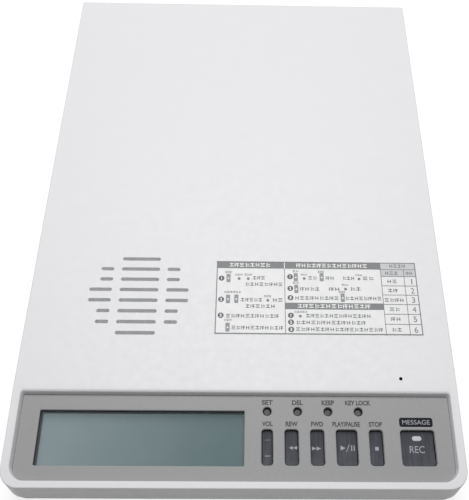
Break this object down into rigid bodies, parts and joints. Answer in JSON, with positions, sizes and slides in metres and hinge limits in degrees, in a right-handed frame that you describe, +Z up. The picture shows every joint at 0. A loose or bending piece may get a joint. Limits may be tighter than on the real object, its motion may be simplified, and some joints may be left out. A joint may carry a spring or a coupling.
{
  "type": "telephone call recorder",
  "caption": "Flat wedge-shaped desk recorder for telephone calls, with a sunken panel of display and keys along the front, a speaker grille, a printed guide and rear sockets.",
  "frame": {"origin": "on the desk surface, below the middle of the case", "axes": "+X to the right of the user, +Y to the rear, +Z up"},
  "size_m": [0.17, 0.25, 0.0374],
  "materials": {
    "case_white": "moulded satin white",
    "panel_grey": "painted satin grey",
    "window_clear": "clear acrylic",
    "lcd_grey": "polarised display, grey-green",
    "key_slate": "fine moulded texture",
    "lens_pale": "translucent, diffusing",
    "label_white": "printed film",
    "foot_rubber": "moulded",
    "zinc_steel": "zinc plated",
    "dark_plastic": "moulded black",
    "switch_grey": "moulded",
    "backlight_milk": "milky light guide",
    "contact_rubber": "layered silicone",
    "board_green": "solder mask",
    "led_red": "tinted",
    "dust_cloth": "woven",
    "cone_paper": "pressed paper",
    "magnet_iron": "ferrite",
    "connector_cream": "moulded",
    "capacitor_blue": "shrink sleeve",
    "cable_grey": "flat ribbon",
    "lead_red": "insulated wire",
    "lead_dark": "insulated wire",
    "coil_tape": "wound and taped",
    "cell_steel": "rolled",
    "contact_gold": "gold plated",
    "card_blue": "moulded"
  },
  "bodies": {
    "case": {"top_case": "case_white", "bottom_case": "case_white", "rubber_feet": "foot_rubber", "case_screws": "zinc_steel", "rating_plate": "label_white", "guide_label": "label_white", "control_panel": "panel_grey", "display_window": "window_clear", "lcd_glass": "lcd_grey", "lcd_holder": "dark_plastic", "lcd_backlight": "backlight_milk", "lcd_contact_strip": "contact_rubber", "rocker_plungers": "dark_plastic", "switch_bodies": "switch_grey", "key_board": "board_green", "key_board_screws": "zinc_steel", "record_led": "led_red", "speaker_cloth": "dust_cloth", "speaker_gasket": "foot_rubber", "speaker_frame": "zinc_steel", "speaker_cone": "cone_paper", "speaker_magnet": "magnet_iron", "speaker_screws": "zinc_steel", "mic_boot": "foot_rubber", "mic_capsule": "zinc_steel", "main_board": "board_green", "board_screws": "zinc_steel", "board_chips": "dark_plastic", "board_capacitors": "capacitor_blue", "board_connectors": "connector_cream", "ribbon_cable": "cable_grey", "speaker_lead": "lead_red", "mic_lead": "lead_dark", "line_transformer": "coil_tape", "line_relay": "connector_cream", "cell_holder": "dark_plastic", "coin_cell": "cell_steel", "modular_jacks": "dark_plastic", "jack_contacts": "contact_gold", "audio_jack": "dark_plastic", "power_jack": "dark_plastic", "card_socket": "zinc_steel"},
    "volume_rocker": {"volume_rocker": "key_slate"},
    "rewind_key": {"rewind_key": "key_slate", "rewind_plunger": "dark_plastic"},
    "forward_key": {"forward_key": "key_slate", "forward_plunger": "dark_plastic"},
    "play_key": {"play_key": "key_slate", "play_plunger": "dark_plastic"},
    "stop_key": {"stop_key": "key_slate", "stop_plunger": "dark_plastic"},
    "record_key": {"record_key": "key_slate", "record_lens": "lens_pale", "record_plunger": "dark_plastic"},
    "register_button": {"register_button": "key_slate"},
    "erase_button": {"erase_button": "key_slate"},
    "mark_button": {"mark_button": "key_slate"},
    "lock_button": {"lock_button": "key_slate"},
    "memory_card": {"memory_card": "card_blue"}
  },
  "joints": [
    {"name": "volume_rock", "type": "hinge", "parent": "case", "child": "volume_rocker", "pos_m": [0.01182, -0.10901, 0.01392], "axis": [1, 0, 0], "range_deg": [-4, 4], "stiffness_Nm_per_rad": 0.1},
    {"name": "rewind_press", "type": "slide", "parent": "case", "child": "rewind_key", "axis": [0, 0.1219, -0.9925], "range_m": [0, 0.0005], "stiffness_N_per_m": 1200, "springref_m": -0.0005},
    {"name": "forward_press", "type": "slide", "parent": "case", "child": "forward_key", "axis": [0, 0.1219, -0.9925], "range_m": [0, 0.0005], "stiffness_N_per_m": 1200, "springref_m": -0.0005},
    {"name": "play_press", "type": "slide", "parent": "case", "child": "play_key", "axis": [0, 0.1219, -0.9925], "range_m": [0, 0.0005], "stiffness_N_per_m": 1200, "springref_m": -0.0005},
    {"name": "stop_press", "type": "slide", "parent": "case", "child": "stop_key", "axis": [0, 0.1219, -0.9925], "range_m": [0, 0.0005], "stiffness_N_per_m": 1200, "springref_m": -0.0005},
    {"name": "record_press", "type": "slide", "parent": "case", "child": "record_key", "axis": [0, 0.1219, -0.9925], "range_m": [0, 0.0005], "stiffness_N_per_m": 1200, "springref_m": -0.0005},
    {"name": "register_press", "type": "slide", "parent": "case", "child": "register_button", "axis": [0, 0.1219, -0.9925], "range_m": [0, 0.0005], "stiffness_N_per_m": 1200, "springref_m": -0.0005},
    {"name": "erase_press", "type": "slide", "parent": "case", "child": "erase_button", "axis": [0, 0.1219, -0.9925], "range_m": [0, 0.0005], "stiffness_N_per_m": 1200, "springref_m": -0.0005},
    {"name": "mark_press", "type": "slide", "parent": "case", "child": "mark_button", "axis": [0, 0.1219, -0.9925], "range_m": [0, 0.0005], "stiffness_N_per_m": 1200, "springref_m": -0.0005},
    {"name": "lock_press", "type": "slide", "parent": "case", "child": "lock_button", "axis": [0, 0.1219, -0.9925], "range_m": [0, 0.0005], "stiffness_N_per_m": 1200, "springref_m": -0.0005},
    {"name": "card_slide", "type": "slide", "parent": "case", "child": "memory_card", "axis": [1, 0, 0], "range_m": [-0.0012, 0.03]}
  ]
}
